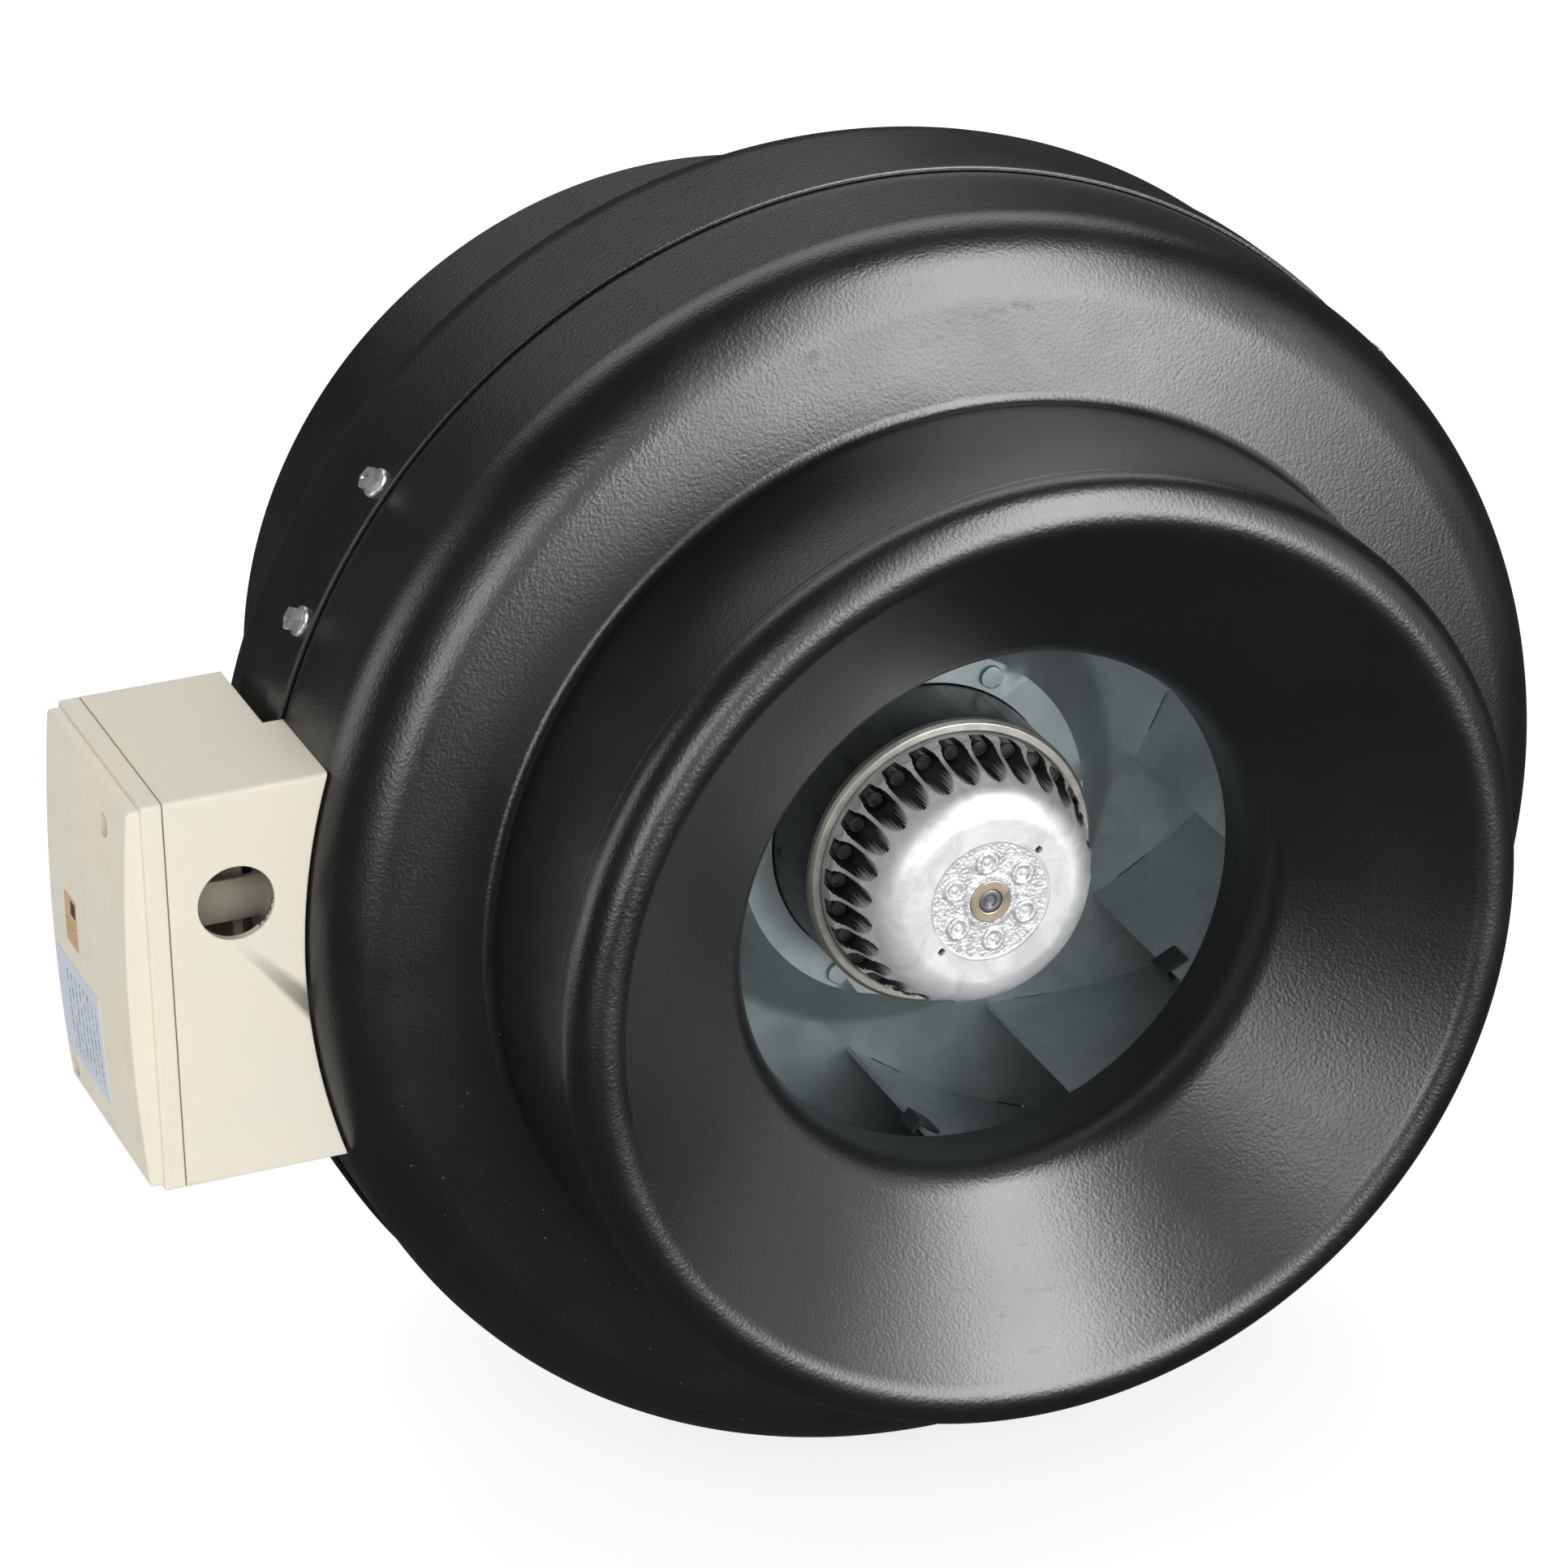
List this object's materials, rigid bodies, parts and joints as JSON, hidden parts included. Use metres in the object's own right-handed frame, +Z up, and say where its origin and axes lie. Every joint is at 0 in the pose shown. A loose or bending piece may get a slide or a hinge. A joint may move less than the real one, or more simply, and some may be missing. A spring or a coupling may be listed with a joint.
{
  "type": "inline duct fan",
  "caption": "Round inline duct fan: pressed steel casing between two duct spigots, bell-mouth inlet, backward-curved impeller on an external-rotor motor, side terminal box.",
  "frame": {"origin": "on the fan axis, inside the straight wall of the inlet spigot", "axes": "+Y along the airflow, from inlet to outlet; +Z up; the terminal box is on -X"},
  "size_m": [0.3755, 0.248, 0.336],
  "materials": {
    "casing_paint": "satin textured powder coat",
    "zinc": "bright zinc plate",
    "galvanised": "matt galvanised sheet",
    "aluminium_cast": "die cast",
    "lamination": "stacked sheet",
    "copper": "enamelled winding",
    "bearing_steel": "ground",
    "shaft_steel": "ground, dark end",
    "brass": "turned",
    "motor_black": "semi-gloss",
    "rim_steel": "turned",
    "box_plastic": "fine texture",
    "white_plastic": "moulded",
    "black_rubber": "moulded",
    "capacitor_can": "moulded",
    "foam": "closed cell foam",
    "label_film": "printed film",
    "sticker_paper": "printed film",
    "clip_steel": "blued spring steel"
  },
  "bodies": {
    "casing": {"front_casing": "casing_paint", "inlet_nozzle": "casing_paint", "rear_casing": "casing_paint", "casing_screws": "zinc", "motor_bracket": "galvanised", "bracket_bolts": "zinc", "stator_flange": "aluminium_cast", "stator_core": "lamination", "stator_windings": "copper", "front_bearing": "bearing_steel", "rear_bearing": "bearing_steel", "terminal_box_base": "box_plastic", "box_screws": "zinc", "terminal_block": "white_plastic", "terminal_screws": "brass", "capacitor": "capacitor_can", "capacitor_clamp": "zinc", "lead_grommet": "black_rubber", "motor_lead": "black_rubber", "earth_screw": "brass"},
    "rotor": {"rotor_can": "motor_black", "rotor_rim": "rim_steel", "rotor_end_cap": "aluminium_cast", "rotor_core": "lamination", "shaft_bush": "brass", "motor_shaft": "shaft_steel", "shaft_circlip": "clip_steel", "impeller_back_plate": "galvanised", "impeller_shroud": "galvanised", "impeller_blade_1": "galvanised", "impeller_blade_2": "galvanised", "impeller_blade_3": "galvanised", "impeller_blade_4": "galvanised", "impeller_blade_5": "galvanised", "impeller_blade_6": "galvanised", "impeller_blade_7": "galvanised", "impeller_blade_8": "galvanised", "impeller_blade_9": "galvanised", "impeller_blade_10": "galvanised", "impeller_blade_11": "galvanised", "hub_rivets": "aluminium_cast", "balance_clips": "clip_steel"},
    "cover": {"terminal_box_cover": "box_plastic", "cover_screws": "zinc", "cover_gasket": "foam", "rating_label": "label_film", "inspection_sticker": "sticker_paper"}
  },
  "joints": [
    {"name": "impeller_spin", "type": "hinge", "parent": "casing", "child": "rotor", "pos_m": [0, 0.07, 0], "axis": [0, 1, 0], "continuous": true},
    {"name": "cover_lift", "type": "slide", "parent": "casing", "child": "cover", "axis": [-1, 0, 0], "range_m": [0, 0.05]}
  ]
}
